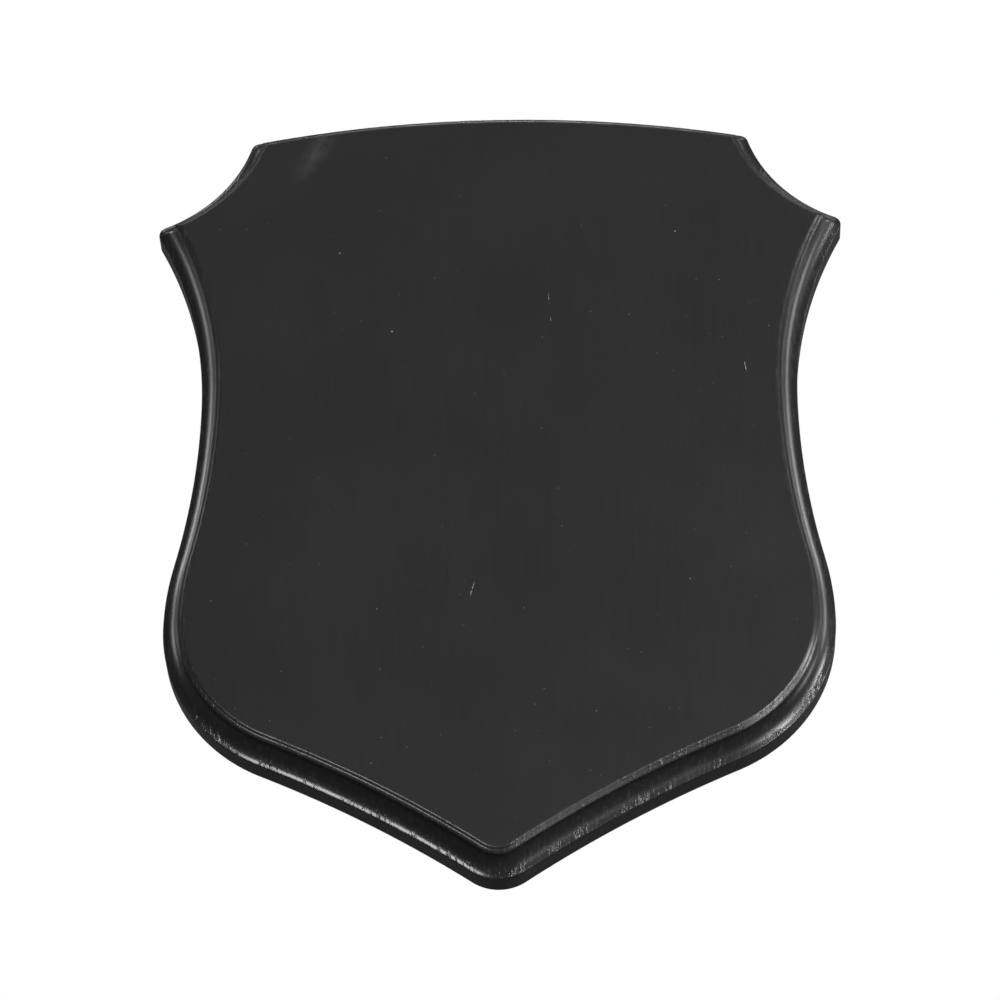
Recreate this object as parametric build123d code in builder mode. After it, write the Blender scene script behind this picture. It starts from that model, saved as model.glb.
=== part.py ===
"""A shield-shaped wall plaque: one routed board, its recessed keyhole hanger, two screws and four pads.

Frame: +X to the right as the plaque is read, +Z up, -Y out of the front. The wall is the plane Y = 0,
and the origin is where the wall screw's shank sits in the top of the hanger's keyhole.
"""

import os
from math import atan2, degrees, hypot, sqrt

from build123d import *

# ---------------------------------------------------------------- board, as seen from the front
PLAQUE_WIDTH = 203.0  # over the rounded ears
PLAQUE_HEIGHT = 254.0
BOARD_THICKNESS = 15.0
HANG_DROP = 36.0  # from the top of the crown down to the wall screw

TOP_CORNER_HALF_WIDTH = 74.2
CROWN_RISE = 7.6  # top of the crown above its two corners
EAR_DROP = 38.2
EAR_POINT = 1.15  # how far an ear would reach past the width if it weren't rounded
NOTCH_RADIUS = 45.0  # hollow shoulder between a top corner and an ear
WAIST_HALF_WIDTH = 86.9
WAIST_DROP = 99.5
HIP_HALF_WIDTH = 95.5
HIP_DROP = 174.0
HIP_UPPER_RADIUS = 91.0
HIP_LOWER_RADIUS = 48.0
FLANK_RADIUS = 360.0  # long shallow hollow from hip to tip
TIP_RADIUS = 13.0
TOP_CORNER_ROUND = 2.7
EAR_ROUND = 2.8
BACK_ARRIS = 0.4

# ---------------------------------------------------------------- moulding routed round the front
COVE_RADIUS = 5.8
COVE_TOP = 12.9  # where the cove has turned upright, above the back of the board
STEP_INSET = 4.5  # the upright step above the cove, in from the outline
STEP_HEIGHT = 14.0  # top of that step, above the back of the board
BAND_INSET = 5.5  # inner end of the sloping band above the step
BAND_HEIGHT = 14.49
RISE_INSET = 5.85  # top of the short, steeper rise from the band
RISE_HEIGHT = 14.78
FACE_INSET = 6.45  # where the rise's rounded top edge has turned into the flat front

# ---------------------------------------------------------------- hanger let into the back
PLATE_LENGTH = 44.0
PLATE_WIDTH = 16.0
PLATE_THICKNESS = 1.5
PLATE_EDGE_ROUND = 0.3
KEYHOLE_RADIUS = 4.5
SLOT_WIDTH = 4.6
KEYHOLE_DROP = 9.0  # round part of the keyhole below the top of its slot
RECESS_CLEARANCE = 0.2
HEAD_POCKET_WIDTH = 10.0
HEAD_POCKET_DEPTH = 6.0  # behind the plate, for the wall screw's head

SCREW_SPACING = 33.0
SCREW_LENGTH = 10.0
SCREW_THREAD_RADIUS = 1.5
SCREW_CORE_RADIUS = 1.1
SCREW_PITCH = 1.2
SCREW_TIP_LENGTH = 2.4
SCREW_HEAD_SINK = 0.1  # the heads stop just under the plate's surface
SCREW_HEAD_RADIUS = SCREW_THREAD_RADIUS + PLATE_THICKNESS - SCREW_HEAD_SINK
DRIVE_WIDTH = 0.9
DRIVE_SPAN = 3.4
DRIVE_DEPTH = 1.2
SHANK_HOLE_RADIUS = 1.7

PAD_RADIUS = 5.0
PAD_THICKNESS = 1.5
PAD_EDGE_ROUND = 0.3
UPPER_PAD = (78.0, 58.0)  # half spacing, and drop below the crown
LOWER_PAD = (72.0, 190.0)

# ---------------------------------------------------------------- places worked out from these
CROWN_Z = HANG_DROP
TIP_Z = CROWN_Z - PLAQUE_HEIGHT
EAR_HALF_WIDTH = PLAQUE_WIDTH / 2 + EAR_POINT
WAIST_Z = CROWN_Z - WAIST_DROP
HIP_Z = CROWN_Z - HIP_DROP
TOP_CORNER = (TOP_CORNER_HALF_WIDTH, CROWN_Z - CROWN_RISE)
EAR = (EAR_HALF_WIDTH, CROWN_Z - EAR_DROP)
BACK_PLANE = Plane.XZ.offset(PAD_THICKNESS)  # back of the board, its normal into the board
PLATE_CENTRE_Z = -KEYHOLE_DROP / 2
SCREW_HEIGHTS = (PLATE_CENTRE_Z + SCREW_SPACING / 2, PLATE_CENTRE_Z - SCREW_SPACING / 2)


def circles_meet(centre_a, radius_a, centre_b, radius_b):
    """Where two circles cross, on the left of the way from centre a to centre b."""
    across_x = centre_b[0] - centre_a[0]
    across_z = centre_b[1] - centre_a[1]
    apart = hypot(across_x, across_z)
    along = (radius_a**2 - radius_b**2 + apart**2) / (2 * apart)
    aside = sqrt(radius_a**2 - along**2)
    unit_x = across_x / apart
    unit_z = across_z / apart
    return (
        centre_a[0] + along * unit_x - aside * unit_z,
        centre_a[1] + along * unit_z + aside * unit_x,
    )


def direction(centre, point):
    """Angle from a centre to a point, in degrees from 0 to 360."""
    return degrees(atan2(point[1] - centre[1], point[0] - centre[0])) % 360


# ---------------------------------------------------------------- the circles that bound the right half
crown_radius = (TOP_CORNER_HALF_WIDTH**2 + CROWN_RISE**2) / (2 * CROWN_RISE)
crown_centre = (0, CROWN_Z - crown_radius)

notch_centre = circles_meet(TOP_CORNER, NOTCH_RADIUS, EAR, NOTCH_RADIUS)

ear_overhang = EAR_HALF_WIDTH - WAIST_HALF_WIDTH
ear_rise = EAR[1] - WAIST_Z
upper_waist_radius = (ear_overhang**2 + ear_rise**2) / (2 * ear_overhang)
upper_waist_centre = (WAIST_HALF_WIDTH + upper_waist_radius, WAIST_Z)

upper_hip_centre = (HIP_HALF_WIDTH - HIP_UPPER_RADIUS, HIP_Z)
hip_offset = WAIST_HALF_WIDTH - upper_hip_centre[0]
waist_to_hip = WAIST_Z - HIP_Z
lower_waist_radius = (hip_offset**2 + waist_to_hip**2 - HIP_UPPER_RADIUS**2) / (
    2 * (HIP_UPPER_RADIUS - hip_offset)
)
lower_waist_centre = (WAIST_HALF_WIDTH + lower_waist_radius, WAIST_Z)

lower_hip_centre = (HIP_HALF_WIDTH - HIP_LOWER_RADIUS, HIP_Z)
tip_centre = (0, TIP_Z + TIP_RADIUS)
flank_centre = circles_meet(
    lower_hip_centre,
    FLANK_RADIUS + HIP_LOWER_RADIUS,
    tip_centre,
    FLANK_RADIUS + TIP_RADIUS,
)

# Each arc: centre, radius, its lowest and highest angle, whether the board is on the centre's side,
# and how far the router runs on past its low and high ends, in millimetres.
RUN_ON = 9.0
ARCS = {
    "crown": (crown_centre, crown_radius, direction(crown_centre, TOP_CORNER), 90, True, RUN_ON, 0),
    "notch": (
        notch_centre,
        NOTCH_RADIUS,
        direction(notch_centre, TOP_CORNER),
        direction(notch_centre, EAR),
        False,
        RUN_ON,
        RUN_ON,
    ),
    "upper_waist": (
        upper_waist_centre,
        upper_waist_radius,
        direction(upper_waist_centre, EAR),
        180,
        False,
        RUN_ON,
        0,
    ),
    "lower_waist": (
        lower_waist_centre,
        lower_waist_radius,
        180,
        direction(lower_waist_centre, upper_hip_centre),
        False,
        0,
        0,
    ),
    "upper_hip": (
        upper_hip_centre,
        HIP_UPPER_RADIUS,
        0,
        direction(upper_hip_centre, lower_waist_centre),
        True,
        0,
        0,
    ),
    "lower_hip": (
        lower_hip_centre,
        HIP_LOWER_RADIUS,
        direction(lower_hip_centre, flank_centre),
        360,
        True,
        0,
        0,
    ),
    "flank": (
        flank_centre,
        FLANK_RADIUS,
        direction(flank_centre, lower_hip_centre),
        direction(flank_centre, tip_centre),
        False,
        0,
        0,
    ),
    "tip": (tip_centre, TIP_RADIUS, 270, direction(tip_centre, flank_centre), True, 0, 0),
}

# ---------------------------------------------------------------- moulding: what the router takes away
# Profile axes: x in from the outline, y up from the back of the board.
MARGIN = 2.0
cove_axis = STEP_INSET - COVE_RADIUS
face_edge = (FACE_INSET, BOARD_THICKNESS)
rise_top = (RISE_INSET, RISE_HEIGHT)

with BuildSketch() as moulding_profile:
    with BuildLine():
        CenterArc((cove_axis, COVE_TOP), COVE_RADIUS, -90, 90)
        Line((STEP_INSET, COVE_TOP), (STEP_INSET, STEP_HEIGHT))
        Polyline((STEP_INSET, STEP_HEIGHT), (BAND_INSET, BAND_HEIGHT), rise_top)
        TangentArc(face_edge, rise_top, tangent=(-1, 0), tangent_from_first=True)
        Polyline(
            face_edge,
            (FACE_INSET, BOARD_THICKNESS + MARGIN),
            (cove_axis - MARGIN, BOARD_THICKNESS + MARGIN),
            (cove_axis - MARGIN, COVE_TOP - COVE_RADIUS),
            (cove_axis, COVE_TOP - COVE_RADIUS),
        )
    make_face()

with BuildPart() as moulding_waste:
    for centre, radius, low, high, board_within, run_low, run_high in ARCS.values():
        start = low - degrees(run_low / radius)
        sweep_angle = high - start + degrees(run_high / radius)
        outward = Vector(1, 0, 0).rotate(Axis((0, 0, 0), (0, -1, 0)), start)
        inward = -outward if board_within else outward
        middle = Vector(centre[0], -PAD_THICKNESS, centre[1])
        front = Vector(0, -1, 0)
        section = Plane(origin=middle + outward * radius, x_dir=inward, z_dir=inward.cross(front))
        with BuildSketch(section):
            add(moulding_profile.sketch)
        revolve(axis=Axis(middle, front), revolution_arc=sweep_angle)
    mirror(about=Plane.YZ)

# ---------------------------------------------------------------- the board
with BuildPart() as shield_board:
    with BuildSketch(BACK_PLANE) as outline:
        with BuildLine():
            for centre, radius, low, high, *_ in ARCS.values():
                CenterArc(centre, radius, low, high - low)
            mirror(about=Plane.YZ)
        make_face()
        corners = outline.vertices().filter_by(lambda v: abs(v.Y - TOP_CORNER[1]) < 0.01)
        fillet(corners, TOP_CORNER_ROUND)
        ears = outline.vertices().filter_by(lambda v: abs(v.Y - EAR[1]) < 0.01)
        fillet(ears, EAR_ROUND)
    extrude(amount=BOARD_THICKNESS)
    back_face = shield_board.faces().sort_by(Axis.Y)[-1]
    chamfer(back_face.outer_wire().edges(), BACK_ARRIS)
    add(moulding_waste.part, mode=Mode.SUBTRACT)

    # recess that brings the plate flush with the back
    with BuildSketch(BACK_PLANE):
        with Locations((0, PLATE_CENTRE_Z)):
            SlotOverall(
                PLATE_LENGTH + 2 * RECESS_CLEARANCE,
                PLATE_WIDTH + 2 * RECESS_CLEARANCE,
                rotation=90,
            )
    extrude(amount=PLATE_THICKNESS, mode=Mode.SUBTRACT)

    # deeper pocket behind the keyhole
    with BuildSketch(BACK_PLANE.offset(PLATE_THICKNESS)):
        with Locations((0, PLATE_CENTRE_Z)):
            SlotOverall(KEYHOLE_DROP + HEAD_POCKET_WIDTH, HEAD_POCKET_WIDTH, rotation=90)
    extrude(amount=HEAD_POCKET_DEPTH, mode=Mode.SUBTRACT)

    # holes that the two screws have cut for themselves
    with BuildSketch(BACK_PLANE.offset(PLATE_THICKNESS)):
        with Locations(*[(0, height) for height in SCREW_HEIGHTS]):
            Circle(SCREW_THREAD_RADIUS)
    extrude(amount=SCREW_LENGTH - PLATE_THICKNESS, mode=Mode.SUBTRACT)

shield_board.part.label = "shield_board"

# ---------------------------------------------------------------- keyhole hanger plate
with BuildPart() as hanger_plate:
    with BuildSketch(BACK_PLANE):
        with Locations((0, PLATE_CENTRE_Z)):
            SlotOverall(PLATE_LENGTH, PLATE_WIDTH, rotation=90)
    extrude(amount=PLATE_THICKNESS)
    plate_rim = hanger_plate.faces().sort_by(Axis.Y)[-1].outer_wire().edges()
    fillet(plate_rim, PLATE_EDGE_ROUND)
    with BuildSketch(BACK_PLANE):
        with Locations((0, -KEYHOLE_DROP)):
            Circle(KEYHOLE_RADIUS)
        with Locations((0, -KEYHOLE_DROP / 2)):
            SlotOverall(KEYHOLE_DROP + SLOT_WIDTH, SLOT_WIDTH, rotation=90)
    extrude(amount=PLATE_THICKNESS, mode=Mode.SUBTRACT)
    plate_outside = Plane(origin=(0, -PAD_THICKNESS, 0), x_dir=(-1, 0, 0), z_dir=(0, 1, 0))
    with Locations(plate_outside):
        with Locations(*[(0, height) for height in SCREW_HEIGHTS]):
            CounterSinkHole(SHANK_HOLE_RADIUS, SCREW_HEAD_RADIUS + SCREW_HEAD_SINK, counter_sink_angle=90)

hanger_plate.part.label = "hanger_plate"

# ---------------------------------------------------------------- the two countersunk screws
thread_turns = int((SCREW_LENGTH - PLATE_THICKNESS - SCREW_TIP_LENGTH) / SCREW_PITCH)
thread_edge = []
for turn in range(thread_turns):
    depth = PLATE_THICKNESS + (turn + 0.5) * SCREW_PITCH
    thread_edge.append((SCREW_CORE_RADIUS, -depth))
    thread_edge.append((SCREW_THREAD_RADIUS, -depth - SCREW_PITCH / 2))

with BuildPart() as hanger_screws:
    for height in SCREW_HEIGHTS:
        screw_axis_foot = Vector(0, -PAD_THICKNESS, height)
        with BuildSketch(Plane(origin=screw_axis_foot, x_dir=(1, 0, 0), z_dir=(0, 0, 1))):
            with BuildLine():
                Polyline(
                    (0, -SCREW_HEAD_SINK),
                    (SCREW_HEAD_RADIUS, -SCREW_HEAD_SINK),
                    (SCREW_THREAD_RADIUS, -PLATE_THICKNESS),
                    *thread_edge,
                    (SCREW_CORE_RADIUS, SCREW_TIP_LENGTH - SCREW_LENGTH),
                    (0, -SCREW_LENGTH),
                    close=True,
                )
            make_face()
        revolve(axis=Axis(screw_axis_foot, (0, 1, 0)))
        with BuildSketch(Plane.XZ.offset(PAD_THICKNESS + SCREW_HEAD_SINK)):
            with Locations((0, height)):
                Rectangle(DRIVE_SPAN, DRIVE_WIDTH)
                Rectangle(DRIVE_WIDTH, DRIVE_SPAN)
        extrude(amount=DRIVE_DEPTH, taper=12, mode=Mode.SUBTRACT)

hanger_screws.part.label = "hanger_screws"

# ---------------------------------------------------------------- felt pads that meet the wall
with BuildPart() as wall_pads:
    with BuildSketch(Plane.XZ):
        for half_spacing, drop in (UPPER_PAD, LOWER_PAD):
            with Locations((half_spacing, CROWN_Z - drop), (-half_spacing, CROWN_Z - drop)):
                Circle(PAD_RADIUS)
    extrude(amount=PAD_THICKNESS)
    fillet(wall_pads.edges().group_by(Axis.Y)[-1], PAD_EDGE_ROUND)

wall_pads.part.label = "wall_pads"

# ---------------------------------------------------------------- one file per sub-part
os.makedirs("parts", exist_ok=True)
export_step(shield_board.part, "parts/shield_board.step")
export_step(hanger_plate.part, "parts/hanger_plate.step")
export_step(hanger_screws.part, "parts/hanger_screws.step")
export_step(wall_pads.part, "parts/wall_pads.step")

board_box = shield_board.part.bounding_box()
print("board", board_box.size, "to", board_box.min, board_box.max)
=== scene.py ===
"""A black lacquered shield plaque, hung upright, with its keyhole hanger behind. Metres, in the CAD frame."""

from math import atan2, cos, hypot, pi, radians, sin, sqrt

import bmesh
import bpy
from mathutils import Matrix, Vector


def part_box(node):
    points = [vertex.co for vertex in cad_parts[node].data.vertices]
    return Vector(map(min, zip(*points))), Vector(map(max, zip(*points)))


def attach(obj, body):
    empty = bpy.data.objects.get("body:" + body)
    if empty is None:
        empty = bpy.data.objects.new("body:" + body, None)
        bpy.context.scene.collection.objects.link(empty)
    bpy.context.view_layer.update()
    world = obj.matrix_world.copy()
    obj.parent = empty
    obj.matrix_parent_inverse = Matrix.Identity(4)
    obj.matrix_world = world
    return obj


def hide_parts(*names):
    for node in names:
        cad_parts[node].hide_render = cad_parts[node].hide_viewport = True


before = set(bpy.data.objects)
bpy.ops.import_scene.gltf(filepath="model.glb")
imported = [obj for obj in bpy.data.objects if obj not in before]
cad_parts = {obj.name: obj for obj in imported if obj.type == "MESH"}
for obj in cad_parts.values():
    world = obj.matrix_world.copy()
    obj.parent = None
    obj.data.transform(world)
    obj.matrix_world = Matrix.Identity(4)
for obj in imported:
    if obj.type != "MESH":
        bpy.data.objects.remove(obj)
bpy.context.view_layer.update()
MM = 0.001

# ---------------------------------------------------------------- the board's outline, in millimetres
board_low, board_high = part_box("shield_board")
CROWN_Z = board_high.z / MM
TIP_Z = board_low.z / MM
BACK_Y = board_high.y / MM
THICKNESS = (board_high.y - board_low.y) / MM
EAR_POINT = 1.15  # an unrounded ear would reach this far past the board's width
EAR_HALF_WIDTH = board_high.x / MM + EAR_POINT

TOP_CORNER = (74.2, CROWN_Z - 7.6)
EAR = (EAR_HALF_WIDTH, CROWN_Z - 38.2)
NOTCH_RADIUS = 45.0
WAIST = (86.9, CROWN_Z - 99.5)
HIP = (95.5, CROWN_Z - 174.0)
HIP_UPPER_RADIUS = 91.0
HIP_LOWER_RADIUS = 48.0
FLANK_RADIUS = 360.0
TIP_RADIUS = 13.0
TOP_CORNER_ROUND = 2.7
EAR_ROUND = 2.8
POINT_SPACING = 0.6  # along the outline
ROUND_STEPS = 6  # points on a corner's round
LEAST_STEPS = 3  # points on any other stretch

# ---------------------------------------------------------------- the routed moulding, in millimetres
COVE_RADIUS = 5.8
COVE_TOP = 12.9
STEP_INSET = 4.5
STEP_HEIGHT = 14.0
BAND_INSET = 5.5
BAND_HEIGHT = 14.49
RISE_INSET = 5.85
RISE_HEIGHT = 14.78
FACE_INSET = 6.45
BACK_ARRIS = 0.4
SOFT_EDGE = 0.22  # lacquer and sanding round every edge a little
BACK_RIM = 0.5  # a flat margin inside the arris, so that the shading of the back stays flat
FRONT_RIM = 0.6  # the same round the front
WALL_ROWS = 6
COVE_ROWS = 16
EDGE_ROWS = 6


def circles_meet(centre_a, radius_a, centre_b, radius_b):
    """Where two circles cross, on the left of the way from centre a to centre b."""
    across_x = centre_b[0] - centre_a[0]
    across_z = centre_b[1] - centre_a[1]
    apart = hypot(across_x, across_z)
    along = (radius_a**2 - radius_b**2 + apart**2) / (2 * apart)
    aside = sqrt(max(radius_a**2 - along**2, 0))
    return (
        centre_a[0] + (along * across_x - aside * across_z) / apart,
        centre_a[1] + (along * across_z + aside * across_x) / apart,
    )


def angle_to(centre, point):
    return atan2(point[1] - centre[1], point[0] - centre[0])


def shorter_turn(start, end):
    """The turn from one angle to another, the shorter way round."""
    return (end - start + pi) % (2 * pi) - pi


class Arc:
    """One round stretch of the outline. `within` says that the board is on the centre's side."""

    def __init__(self, centre, radius, within):
        self.centre = centre
        self.radius = radius
        self.within = within

    def inset(self, depth):
        """The arc's radius this far in from the outline."""
        return self.radius - depth if self.within else self.radius + depth

    def point(self, angle, depth):
        radius = self.inset(depth)
        return (self.centre[0] + radius * cos(angle), self.centre[1] + radius * sin(angle))


def half_outline_arcs():
    """The circles of the right half, from the crown down to the tip."""
    rise = CROWN_Z - TOP_CORNER[1]
    crown_radius = (TOP_CORNER[0] ** 2 + rise**2) / (2 * rise)
    crown = Arc((0, CROWN_Z - crown_radius), crown_radius, True)
    notch = Arc(circles_meet(TOP_CORNER, NOTCH_RADIUS, EAR, NOTCH_RADIUS), NOTCH_RADIUS, False)
    overhang = EAR[0] - WAIST[0]
    waist_radius = (overhang**2 + (EAR[1] - WAIST[1]) ** 2) / (2 * overhang)
    upper_waist = Arc((WAIST[0] + waist_radius, WAIST[1]), waist_radius, False)
    upper_hip = Arc((HIP[0] - HIP_UPPER_RADIUS, HIP[1]), HIP_UPPER_RADIUS, True)
    offset = WAIST[0] - upper_hip.centre[0]
    drop = WAIST[1] - HIP[1]
    lower_radius = (offset**2 + drop**2 - HIP_UPPER_RADIUS**2) / (2 * (HIP_UPPER_RADIUS - offset))
    lower_waist = Arc((WAIST[0] + lower_radius, WAIST[1]), lower_radius, False)
    lower_hip = Arc((HIP[0] - HIP_LOWER_RADIUS, HIP[1]), HIP_LOWER_RADIUS, True)
    tip = Arc((0, TIP_Z + TIP_RADIUS), TIP_RADIUS, True)
    flank_centre = circles_meet(
        lower_hip.centre, FLANK_RADIUS + HIP_LOWER_RADIUS, tip.centre, FLANK_RADIUS + TIP_RADIUS
    )
    flank = Arc(flank_centre, FLANK_RADIUS, False)
    return crown, notch, upper_waist, lower_waist, upper_hip, lower_hip, flank, tip


crown, notch, upper_waist, lower_waist, upper_hip, lower_hip, flank, tip = half_outline_arcs()


def top_corner(depth):
    """The mitred corner between crown and notch, this far in from the outline."""
    return circles_meet(crown.centre, crown.inset(depth), notch.centre, notch.inset(depth))


def ear_corner(depth):
    """The mitred corner between waist and notch, this far in from the outline."""
    return circles_meet(upper_waist.centre, upper_waist.inset(depth), notch.centre, notch.inset(depth))


def stretch(arc, start, end, depth, steps):
    """Points along an arc, leaving out the last, which is the next stretch's first."""
    turn = shorter_turn(start, end)
    return [arc.point(start + turn * step / steps, depth) for step in range(steps)]


def steps_for(arc, start, end):
    length = abs(shorter_turn(start, end)) * arc.radius
    return max(LEAST_STEPS, round(length / POINT_SPACING))


def rounded_corner(before, after, corner, corner_round, depth):
    """A corner's angle on the arc before it, its angle on the arc after, and the points of its round.

    Deeper than the round reaches, the corner is a mitre, and its one point is repeated.
    """
    middle = corner(max(depth, corner_round))
    start = angle_to(before.centre, middle)
    end = angle_to(after.centre, middle)
    first = before.point(start, depth)
    last = after.point(end, depth)
    radius = max(corner_round - depth, 0)
    if radius == 0:
        return start, end, [first] * ROUND_STEPS
    first_angle = angle_to(middle, first)
    turn = shorter_turn(first_angle, angle_to(middle, last))
    bend = Arc(middle, radius, True)
    points = [bend.point(first_angle + turn * step / ROUND_STEPS, 0) for step in range(ROUND_STEPS)]
    return start, end, points


def stretches(depth):
    """The right half at this depth: (arc, start, end) for each arc, and a list of points for each corner."""
    crown_end, notch_start, top_points = rounded_corner(crown, notch, top_corner, TOP_CORNER_ROUND, depth)
    notch_end, waist_start, ear_points = rounded_corner(notch, upper_waist, ear_corner, EAR_ROUND, depth)
    return [
        (crown, pi / 2, crown_end),
        top_points,
        (notch, notch_start, notch_end),
        ear_points,
        (upper_waist, waist_start, pi),
        (lower_waist, pi, angle_to(lower_waist.centre, upper_hip.centre)),
        (upper_hip, angle_to(upper_hip.centre, lower_waist.centre), 0),
        (lower_hip, 0, angle_to(lower_hip.centre, flank.centre)),
        (flank, angle_to(flank.centre, lower_hip.centre), angle_to(flank.centre, tip.centre)),
        (tip, angle_to(tip.centre, flank.centre), -pi / 2),
    ]


STEPS = [None if isinstance(run, list) else steps_for(*run) for run in stretches(0)]


def ring(depth):
    """The whole outline this far in, as (x, z) in millimetres, clockwise from the middle of the crown."""
    half = []
    for run, steps in zip(stretches(depth), STEPS):
        half += run if steps is None else stretch(*run, depth, steps)
    half.append((0, TIP_Z + depth))
    mirrored = [(-x, z) for x, z in reversed(half[1:-1])]
    return half + mirrored


def arc_rows(centre, radius, start, end, steps):
    """Profile points (depth in from the outline, height above the back) along an arc, both ends included."""
    bend = Arc(centre, radius, True)
    return [bend.point(start + (end - start) * step / steps, 0) for step in range(steps + 1)]


def moulding_rows():
    """The profile from the back of the board up to the flat front."""
    rows = [
        (BACK_ARRIS + BACK_RIM, 0),
        (BACK_ARRIS, 0),
        (BACK_ARRIS * 0.3, BACK_ARRIS * 0.3),
        (0, BACK_ARRIS),
    ]
    cove_centre = (STEP_INSET - COVE_RADIUS, COVE_TOP)
    lip_angle = -pi / 2 + atan2(SOFT_EDGE - cove_centre[0], COVE_RADIUS)
    lip = (
        cove_centre[0] + COVE_RADIUS * cos(lip_angle),
        cove_centre[1] + COVE_RADIUS * sin(lip_angle),
    )
    wall = lip[1] - SOFT_EDGE - BACK_ARRIS
    rows += [(0, BACK_ARRIS + wall * step / WALL_ROWS) for step in range(1, WALL_ROWS + 1)]
    rows.append((SOFT_EDGE * 0.3, lip[1] - SOFT_EDGE * 0.3))
    rows += arc_rows(cove_centre, COVE_RADIUS, lip_angle, 0, COVE_ROWS)
    rows += [
        (STEP_INSET, STEP_HEIGHT - SOFT_EDGE),
        (STEP_INSET + SOFT_EDGE * 0.1, STEP_HEIGHT - SOFT_EDGE * 0.5),
        (STEP_INSET + SOFT_EDGE * 0.4, STEP_HEIGHT - SOFT_EDGE * 0.05),
        (STEP_INSET + SOFT_EDGE, STEP_HEIGHT + SOFT_EDGE * 0.23),
        (BAND_INSET - 0.5, BAND_HEIGHT - 0.11),
        (BAND_INSET - 0.12, BAND_HEIGHT - 0.01),
        (BAND_INSET, BAND_HEIGHT + 0.05),
        (BAND_INSET + 0.1, BAND_HEIGHT + 0.14),
    ]
    rise = THICKNESS - RISE_HEIGHT
    run = FACE_INSET - RISE_INSET
    edge_radius = (rise**2 + run**2) / (2 * rise)
    edge_centre = (FACE_INSET, THICKNESS - edge_radius)
    rows += arc_rows(edge_centre, edge_radius, pi / 2 + 2 * atan2(rise, run), pi / 2, EDGE_ROWS)
    rows.append((FACE_INSET + FRONT_RIM, THICKNESS))
    return rows


# ---------------------------------------------------------------- the board as a mesh
PLATE_CENTRE_Z = -4.5
RECESS_LENGTH = 44.4
RECESS_WIDTH = 16.4
RECESS_DEPTH = 1.5
POCKET_LENGTH = 19.0
POCKET_WIDTH = 10.0
POCKET_DEPTH = 6.0
LACQUER = 0  # the board's two material slots
BARE_BOARD = 1
SAME_PLACE = 1e-7  # metres; closer points are one


def place(x, z, height):
    """A point of the board from millimetres in its outline and height above its back."""
    return Vector((x * MM, (BACK_Y - height) * MM, z * MM))


def stadium(centre_z, length, width, steps=24):
    """An upright slot with round ends, as (x, z)."""
    radius = width / 2
    straight = length / 2 - radius
    points = []
    for end, first in ((1, 0), (-1, pi)):
        for step in range(steps + 1):
            angle = first + pi * step / steps
            points.append((radius * cos(angle), centre_z + end * straight + radius * sin(angle)))
    return points


def sink(mesh, loop, depth_from, depth_to, material):
    """The walls of a hole in the back, round a loop of (x, z). Returns its vertices at both depths."""
    outer = [mesh.verts.new(place(x, z, depth_from)) for x, z in loop]
    inner = [mesh.verts.new(place(x, z, depth_to)) for x, z in loop]
    count = len(loop)
    for i in range(count):
        j = (i + 1) % count
        wall = mesh.faces.new((outer[i], outer[j], inner[j], inner[i]))
        wall.material_index = material
    return outer, inner


def closed_edges(mesh, verts):
    """The edges round a loop of vertices, made where there are none yet."""
    count = len(verts)
    edges = []
    for i in range(count):
        pair = (verts[i], verts[(i + 1) % count])
        edges.append(mesh.edges.get(pair) or mesh.edges.new(pair))
    return edges


def fill(mesh, loops, material):
    """A flat face bounded by the first loop, with the others as holes in it."""
    edges = [edge for loop in loops for edge in closed_edges(mesh, loop)]
    made = bmesh.ops.triangle_fill(mesh, use_beauty=True, use_dissolve=False, edges=edges, normal=(0, 1, 0))
    for item in made["geom"]:
        if isinstance(item, bmesh.types.BMFace):
            item.material_index = material


def board_mesh():
    """The board. Each vertex carries how far in from the outline it is, for the lacquer."""
    rows = moulding_rows()
    mesh = bmesh.new()
    inset_layer = mesh.verts.layers.float.new("inset_mm")
    rings = []
    for depth, height in rows:
        verts = [mesh.verts.new(place(x, z, height)) for x, z in ring(depth)]
        for vert in verts:
            vert[inset_layer] = depth
        rings.append(verts)
    count = len(rings[0])
    for lower, upper in zip(rings, rings[1:]):
        for i in range(count):
            j = (i + 1) % count
            face = mesh.faces.new((lower[i], lower[j], upper[j], upper[i]))
            face.smooth = True
    front = mesh.faces.new(rings[-1])
    front.smooth = True
    recess = stadium(PLATE_CENTRE_Z, RECESS_LENGTH, RECESS_WIDTH)
    pocket = stadium(PLATE_CENTRE_Z, POCKET_LENGTH, POCKET_WIDTH)
    recess_top, recess_floor = sink(mesh, recess, 0, RECESS_DEPTH, BARE_BOARD)
    for vert in recess_top:
        vert[inset_layer] = rows[0][0]
    pocket_top, pocket_floor = sink(mesh, pocket, RECESS_DEPTH, RECESS_DEPTH + POCKET_DEPTH, BARE_BOARD)
    fill(mesh, [rings[0], recess_top], LACQUER)
    fill(mesh, [recess_floor, pocket_top], BARE_BOARD)
    floor = mesh.faces.new(pocket_floor)
    floor.material_index = BARE_BOARD
    bmesh.ops.dissolve_degenerate(mesh, dist=SAME_PLACE, edges=mesh.edges)
    bmesh.ops.recalc_face_normals(mesh, faces=mesh.faces)
    data = bpy.data.meshes.new("lacquered_shield")
    mesh.to_mesh(data)
    mesh.free()
    return data


# ---------------------------------------------------------------- materials
PER_MM = 1000.0
SPOT_DEPTH = 0.005  # metres; a mark on the front stays on the front

# Marks on this plaque's front: centre (x, z), lean in degrees, half width and half length in millimetres.
SCRATCHES = [
    ((-7.4, -131.0), 14, 0.22, 3.8),
    ((14.8, -33.5), -3, 0.16, 3.0),
    ((15.3, -40.5), 0, 0.2, 1.0),
    ((71.8, -58.0), -10, 0.16, 2.8),
]
RUB_MARK = ((-54.0, 21.0), 28, 4, 15)


def grey(level):
    return (level, level, level)


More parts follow.
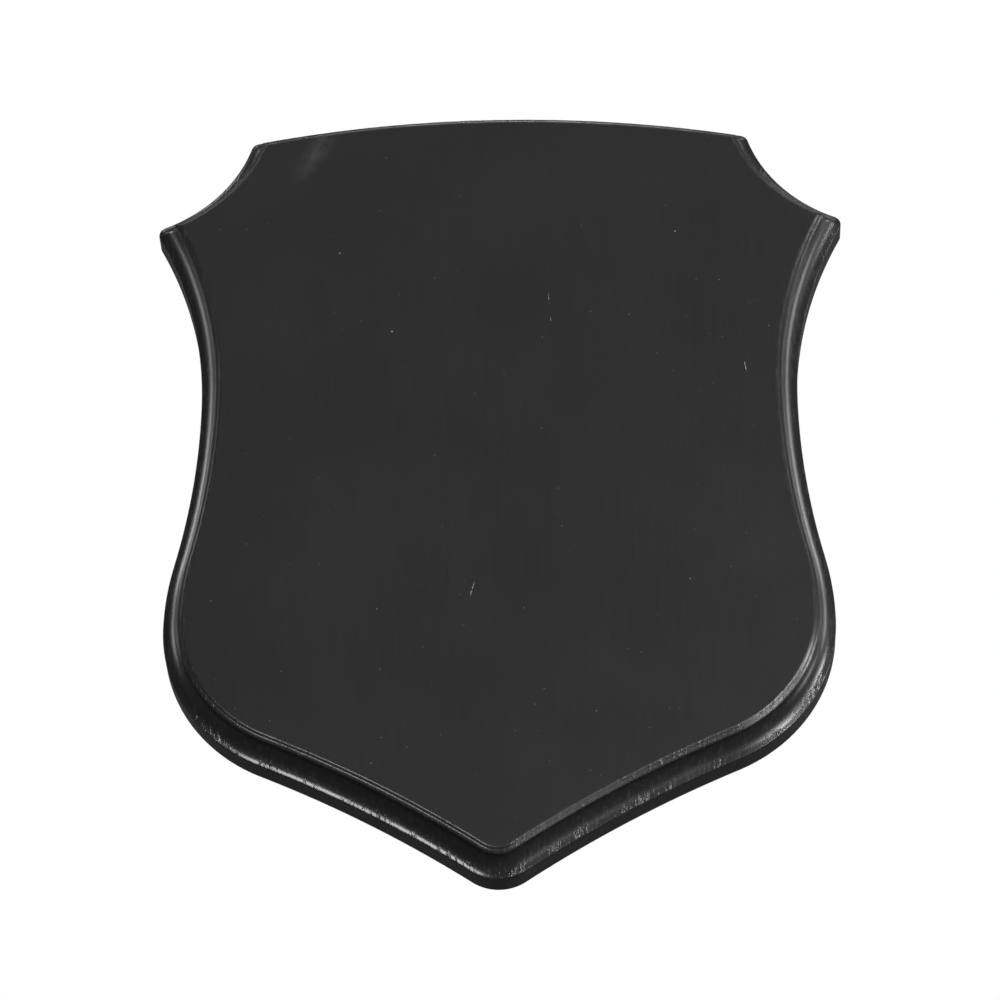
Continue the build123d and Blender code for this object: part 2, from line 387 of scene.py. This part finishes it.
class Look:
    """A material built node by node on the usual surface shader."""

    def __init__(self, name):
        self.material = bpy.data.materials.new(name)
        self.material.use_nodes = True
        self.nodes = self.material.node_tree.nodes
        self.shader = self.nodes["Principled BSDF"]
        coordinates = self.nodes.new("ShaderNodeTexCoord")
        self.place = coordinates.outputs["Object"]
        self.facing = coordinates.outputs["Normal"]

    def join(self, output, target):
        """A link from one node's output to another's input."""
        self.material.node_tree.links.new(output, target)

    def scaled(self, x, y, z):
        """Coordinates in millimetres, times these shares along each axis."""
        node = self.nodes.new("ShaderNodeMapping")
        node.inputs["Scale"].default_value = (x * PER_MM, y * PER_MM, z * PER_MM)
        self.join(self.place, node.inputs["Vector"])
        return node.outputs["Vector"]

    def noise(self, coordinates, scale, detail=2.0, roughness=0.5):
        """Cloudy values round 0.5, with this many bumps to a millimetre."""
        node = self.nodes.new("ShaderNodeTexNoise")
        node.inputs["Scale"].default_value = scale
        node.inputs["Detail"].default_value = detail
        node.inputs["Roughness"].default_value = roughness
        self.join(coordinates, node.inputs["Vector"])
        return node.outputs["Fac"]

    def upright_share(self):
        """How much the surface faces straight up or down, 0 to 1."""
        split = self.nodes.new("ShaderNodeSeparateXYZ")
        self.join(self.facing, split.inputs["Vector"])
        node = self.nodes.new("ShaderNodeMath")
        node.operation = "ABSOLUTE"
        self.join(split.outputs["Z"], node.inputs[0])
        return node.outputs["Value"]

    def specks(self, coordinates, spacing, radius):
        """1 inside scattered dots, 0 elsewhere. Spacing and radius in millimetres."""
        node = self.nodes.new("ShaderNodeTexVoronoi")
        node.inputs["Scale"].default_value = 1 / spacing
        self.join(coordinates, node.inputs["Vector"])
        return self.ranged(node.outputs["Distance"], radius / spacing, 0.4 * radius / spacing, 0, 1)

    def spot(self, centre, lean, half_width, half_length):
        """A soft ellipse on the front, 1 in its middle, leaning this many degrees from upright."""
        node = self.nodes.new("ShaderNodeMapping")
        node.vector_type = "TEXTURE"
        node.inputs["Location"].default_value = (centre[0] * MM, board_low.y, centre[1] * MM)
        node.inputs["Rotation"].default_value = (0, radians(lean), 0)
        node.inputs["Scale"].default_value = (half_width * MM, SPOT_DEPTH, half_length * MM)
        self.join(self.place, node.inputs["Vector"])
        ball = self.nodes.new("ShaderNodeTexGradient")
        ball.gradient_type = "SPHERICAL"
        self.join(node.outputs["Vector"], ball.inputs["Vector"])
        return ball.outputs["Fac"]

    def ranged(self, value, low, high, to_low, to_high):
        """Values from low to high become values from to_low to to_high, and stop there."""
        node = self.nodes.new("ShaderNodeMapRange")
        node.inputs["From Min"].default_value = low
        node.inputs["From Max"].default_value = high
        node.inputs["To Min"].default_value = to_low
        node.inputs["To Max"].default_value = to_high
        self.join(value, node.inputs["Value"])
        return node.outputs["Result"]

    def combine(self, how, first, second):
        """Maths on two values; the second may be a plain number."""
        node = self.nodes.new("ShaderNodeMath")
        node.operation = how
        self.join(first, node.inputs[0])
        if isinstance(second, (int, float)):
            node.inputs[1].default_value = second
        else:
            self.join(second, node.inputs[1])
        return node.outputs["Value"]

    def ramp(self, value, stops):
        """A colour for each value. Stops are (position, (r, g, b))."""
        node = self.nodes.new("ShaderNodeValToRGB")
        elements = node.color_ramp.elements
        for index in (0, -1):
            elements[index].position = stops[index][0]
            elements[index].color = (*stops[index][1], 1)
        for position, colour in stops[1:-1]:
            elements.new(position).color = (*colour, 1)
        self.join(value, node.inputs["Fac"])
        return node.outputs["Color"]

    def mixed(self, share, first, second):
        """The first colour where the share is 0, the second where it is 1."""
        node = self.nodes.new("ShaderNodeMix")
        node.data_type = "RGBA"
        self.join(share, node.inputs["Factor"])
        self.join(first, node.inputs["A"])
        self.join(second, node.inputs["B"])
        return node.outputs["Result"]

    def bump(self, height, depth_mm, below=None):
        """Relief this deep, on top of another relief if given."""
        node = self.nodes.new("ShaderNodeBump")
        node.inputs["Distance"].default_value = depth_mm * MM
        self.join(height, node.inputs["Height"])
        if below:
            self.join(below, node.inputs["Normal"])
        return node.outputs["Normal"]

    def finish(self, colour, roughness, normal, metallic=0.0):
        """Everything joined to the surface shader. Returns the material."""
        self.join(colour, self.shader.inputs["Base Color"])
        self.join(roughness, self.shader.inputs["Roughness"])
        self.join(normal, self.shader.inputs["Normal"])
        self.shader.inputs["Metallic"].default_value = metallic
        return self.material


def front_marks(look, evenly, fine_grain, flat):
    """Dust, scratches and the rub mark, 0 to 1."""
    fine_dust = look.combine("MULTIPLY", look.specks(evenly, 4.2, 0.2), 0.4)
    dust = look.combine("MAXIMUM", look.specks(evenly, 15.0, 0.36), fine_dust)
    dust = look.combine("MULTIPLY", dust, flat)

    broken = look.ranged(look.noise(evenly, 1.1, 1), 0.4, 0.6, 0, 1)
    scratch = None
    for mark in SCRATCHES:
        line = look.ranged(look.spot(*mark), 0.15, 0.6, 0, 0.8)
        scratch = look.combine("MAXIMUM", scratch, line) if scratch else line
    scratch = look.combine("MULTIPLY", scratch, broken)

    rub_strength = look.ranged(fine_grain, 0.3, 0.7, 0.02, 0.09)
    rub = look.combine("MULTIPLY", look.spot(*RUB_MARK), rub_strength)
    return look.combine("MAXIMUM", look.combine("MAXIMUM", dust, scratch), rub)


def black_lacquer():
    """Satin black over close-grained wood whose grain runs upright. The routed edge shows its fibres."""
    look = Look("black_lacquer")
    evenly = look.scaled(1, 1, 1)

    # parts of the board: the moulding, the flat front, the lip, and from the step inwards at half strength.
    # The back counts as moulding and lip, so it keeps the rougher finish
    inset_node = look.nodes.new("ShaderNodeAttribute")
    inset_node.attribute_name = "inset_mm"
    inset = inset_node.outputs["Fac"]
    routed = look.ranged(inset, FACE_INSET + 0.3, FACE_INSET, 0, 1)
    flat = look.ranged(routed, 0, 1, 1, 0)
    lip = look.ranged(inset, 2.4, 1.2, 0, 1)
    lip = look.combine("MULTIPLY", lip, look.ranged(inset, 0.05, 0.25, 0.1, 1))
    band = look.ranged(inset, STEP_INSET - 0.1, STEP_INSET + 0.2, 0, 0.5)

    # relief: fibres raised in tufts where the cut crosses the grain, under an almost even film
    end_grain = look.ranged(look.upright_share(), 0.1, 0.55, 0.12, 1)
    fibres = look.ranged(look.noise(look.scaled(1, 0.3, 0.2), 1.3, 2, 0.6), 0.52, 0.74, 0, 1)
    tufts = look.ranged(look.noise(evenly, 0.14, 2), 0.46, 0.58, 0.08, 1)
    raised = look.combine("MULTIPLY", look.combine("MULTIPLY", tufts, end_grain), routed)
    raised = look.combine("MULTIPLY", raised, look.combine("MAXIMUM", lip, band))
    orange_peel = look.noise(evenly, 0.4, 2)
    fine_grain = look.noise(look.scaled(1, 1, 0.35), 2.6, 3, 0.7)
    normal = look.bump(look.combine("MULTIPLY", fibres, raised), 0.28)
    normal = look.bump(orange_peel, 0.012, normal)
    normal = look.bump(fine_grain, 0.006, normal)

    # colour: black with a faint upright streak, paler on the fibres and in the marks
    streaks = look.combine("MULTIPLY", look.noise(look.scaled(1, 1, 0.05), 0.9, 4, 0.7), 0.4)
    mottle = look.combine("ADD", streaks, look.combine("MULTIPLY", fine_grain, 0.6))
    black = look.ramp(mottle, [(0.3, grey(0.011)), (0.7, grey(0.018))])
    worn = look.ramp(fibres, [(0.0, grey(0.012)), (1.0, grey(0.03))])
    base = look.mixed(routed, black, worn)
    pale = look.ramp(orange_peel, [(0.3, grey(0.06)), (0.65, grey(0.5))])
    marks = front_marks(look, evenly, fine_grain, flat)
    colour = look.mixed(marks, base, pale)

    # gloss: satin in broad clouds, shinier on the lip and duller in the marks
    sheen = look.ranged(look.noise(evenly, 0.03, 3), 0.3, 0.7, 0.28, 0.33)
    sheen = look.combine("SUBTRACT", sheen, look.combine("MULTIPLY", lip, 0.08))
    roughness = look.combine("ADD", sheen, look.combine("MULTIPLY", marks, 0.2))
    return look.finish(colour, roughness, normal)


def bare_wood():
    """The raw wood inside the hanger's recess and pocket."""
    look = Look("bare_wood")
    grain = look.noise(look.scaled(1, 1, 0.06), 0.9, 4, 0.6)
    pores = look.noise(look.scaled(1, 1, 0.12), 3.0, 3, 0.7)
    dark = (0.30, 0.19, 0.10)
    middling = (0.44, 0.30, 0.17)
    light = (0.52, 0.37, 0.22)
    colour = look.ramp(grain, [(0.3, dark), (0.5, middling), (0.7, light)])
    return look.finish(colour, look.ranged(pores, 0.3, 0.7, 0.7, 0.95), look.bump(pores, 0.12))


def zinc(name, dull, bright, along):
    """Plated steel, brushed along an axis, with the plating's faint clouding."""
    look = Look(name)
    brushed = look.noise(look.scaled(*along), 6.0, 3, 0.6)
    clouds = look.noise(look.scaled(1, 1, 1), 0.5, 3)
    colour = look.ramp(clouds, [(0.3, dull), (0.7, bright)])
    brushing = look.ranged(brushed, 0.3, 0.7, 0.2, 0.32)
    roughness = look.combine("ADD", brushing, look.ranged(clouds, 0.3, 0.7, 0, 0.1))
    return look.finish(colour, roughness, look.bump(brushed, 0.01), metallic=1.0)


def felt():
    """Dark pressed felt: short hairs in soft clumps."""
    look = Look("pressed_felt")
    hairs = look.noise(look.scaled(1, 1, 1), 4.0, 4, 0.7)
    clumps = look.noise(look.scaled(1, 1, 1), 0.9, 2)
    colour = look.ramp(hairs, [(0.35, (0.018, 0.018, 0.02)), (0.7, (0.075, 0.075, 0.08))])
    look.shader.inputs["Sheen Weight"].default_value = 0.5
    return look.finish(colour, look.ranged(clumps, 0.3, 0.7, 0.85, 1.0), look.bump(hairs, 0.15))


# ---------------------------------------------------------------- pieces
board = bpy.data.objects.new("lacquered_shield", board_mesh())
bpy.context.scene.collection.objects.link(board)
board.data.materials.append(black_lacquer())
board.data.materials.append(bare_wood())
weighted = board.modifiers.new("even_normals", "WEIGHTED_NORMAL")
weighted.keep_sharp = True
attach(board, "root")
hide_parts("shield_board")

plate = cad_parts["hanger_plate"]
plate.data.materials.clear()
plate.data.materials.append(zinc("plated_hanger", (0.42, 0.43, 0.45), (0.62, 0.63, 0.64), (1, 1, 0.05)))
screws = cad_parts["hanger_screws"]
screws.data.materials.clear()
screws.data.materials.append(zinc("yellow_zinc", (0.50, 0.42, 0.24), (0.66, 0.60, 0.42), (1, 0.2, 1)))
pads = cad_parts["wall_pads"]
pads.data.materials.clear()
pads.data.materials.append(felt())

# ---------------------------------------------------------------- camera, at the photograph's viewing angle
VIEW_DISTANCE = 1.4
TILT_BELOW_FRONT = radians(30.44)
TURN_TO_RIGHT = radians(3.21)
ROLL = radians(-3.66)
LENS = 174.0
AIM_X = 0.06  # millimetres; the point in the middle of the view, in the plane of the board's back
AIM_ABOVE_TIP = 125.22
AIM = Vector((AIM_X * MM, BACK_Y * MM, (TIP_Z + AIM_ABOVE_TIP) * MM))

toward_camera = Vector(
    (
        sin(TURN_TO_RIGHT) * sin(TILT_BELOW_FRONT),
        -cos(TILT_BELOW_FRONT),
        -cos(TURN_TO_RIGHT) * sin(TILT_BELOW_FRONT),
    )
)
camera_data = bpy.data.cameras.new("camera")
camera_data.sensor_width = 36
camera_data.lens = LENS
camera_data.clip_start = 0.05
camera_data.clip_end = 50
camera = bpy.data.objects.new("camera", camera_data)
bpy.context.scene.collection.objects.link(camera)
bpy.context.scene.camera = camera
level_right = (-toward_camera).cross(Vector((0, -1, 0))).normalized()
level_up = level_right.cross(-toward_camera)
right = cos(ROLL) * level_right + sin(ROLL) * level_up
up = cos(ROLL) * level_up - sin(ROLL) * level_right
camera.matrix_world = Matrix.Translation(AIM + toward_camera * VIEW_DISTANCE) @ Matrix(
    ((right.x, up.x, toward_camera.x), (right.y, up.y, toward_camera.y), (right.z, up.z, toward_camera.z))
).to_4x4()

# ---------------------------------------------------------------- light
SURROUND = 0.105  # strength of the even light from all round
LIGHT_DISTANCE = 1.2

bpy.context.scene.view_settings.view_transform = "Standard"
world = bpy.data.worlds.new("studio")
bpy.context.scene.world = world
world.use_nodes = True
world_nodes = world.node_tree.nodes
world_links = world.node_tree.links
surround = world_nodes["Background"]
surround.inputs["Color"].default_value = (1, 1, 1, 1)
surround.inputs["Strength"].default_value = SURROUND
backdrop = world_nodes.new("ShaderNodeBackground")
backdrop.inputs["Color"].default_value = (1, 1, 1, 1)
rays = world_nodes.new("ShaderNodeLightPath")
mix = world_nodes.new("ShaderNodeMixShader")
world_links.new(rays.outputs["Is Camera Ray"], mix.inputs["Fac"])
world_links.new(surround.outputs["Background"], mix.inputs[1])
world_links.new(backdrop.outputs["Background"], mix.inputs[2])
world_links.new(mix.outputs["Shader"], world_nodes["World Output"].inputs["Surface"])


def round_light(name, toward, width, power):
    """A round soft light this wide, aimed at the middle of the view from a direction in the frame."""
    data = bpy.data.lights.new(name, "AREA")
    data.shape = "DISK"
    data.size = width
    data.energy = power
    lamp = bpy.data.objects.new(name, data)
    bpy.context.scene.collection.objects.link(lamp)
    way = Vector(toward).normalized()
    lamp.location = AIM + way * LIGHT_DISTANCE
    lamp.rotation_mode = "QUATERNION"
    lamp.rotation_quaternion = way.to_track_quat("Z", "Y")
    lamp.visible_camera = False


round_light("front", (0.45, -0.88, 0.10), 0.22, 6.5)
round_light("front_right", (0.90, -0.44, 0.07), 0.22, 4.4)
round_light("front_right_low", (0.65, -0.72, -0.19), 0.22, 3.0)
round_light("low_right", (0.71, -0.62, -0.34), 0.36, 3.3)
round_light("front_left", (-0.37, -0.91, -0.20), 0.30, 4.6)
round_light("high_right", (0.76, 0.14, 0.64), 0.36, 2.3)
round_light("high_left", (-0.76, 0.14, 0.64), 0.36, 2.3)
round_light("side_right", (0.93, 0.14, 0.34), 0.36, 1.6)
round_light("side_left", (-0.93, 0.14, 0.34), 0.36, 1.2)
round_light("behind_right", (0.91, 0.42, 0.0), 0.36, 1.1)
round_light("top_left", (-0.35, -0.37, 0.86), 0.36, 1.7)
round_light("top", (0.0, -0.37, 0.93), 0.36, 0.9)
round_light("top_right", (0.34, -0.14, 0.93), 0.36, 0.64)
round_light("top_behind", (0.0, 0.42, 0.91), 0.36, 4)


# ---------------------------------------------------------------- a pale floor
FLOOR_Z = -1.3  # below the camera, which looks up at the plaque
FLOOR_HALF_SIZE = 12
floor_mesh = bpy.data.meshes.new("floor")
floor_corners = [(-1, -1), (1, -1), (1, 1), (-1, 1)]
floor_mesh.from_pydata(
    [(x * FLOOR_HALF_SIZE, y * FLOOR_HALF_SIZE, FLOOR_Z) for x, y in floor_corners], [], [(0, 1, 2, 3)]
)
floor = bpy.data.objects.new("floor", floor_mesh)
bpy.context.scene.collection.objects.link(floor)
plaster = bpy.data.materials.new("pale_plaster")
plaster.use_nodes = True
plaster_shader = plaster.node_tree.nodes["Principled BSDF"]
plaster_shader.inputs["Base Color"].default_value = (0.8, 0.8, 0.8, 1)
plaster_shader.inputs["Roughness"].default_value = 0.9
plaster_shader.inputs["Emission Color"].default_value = (1, 1, 1, 1)
plaster_shader.inputs["Emission Strength"].default_value = 0.86
floor_mesh.materials.append(plaster)
floor.visible_glossy = False
floor.visible_diffuse = False
floor.visible_shadow = False
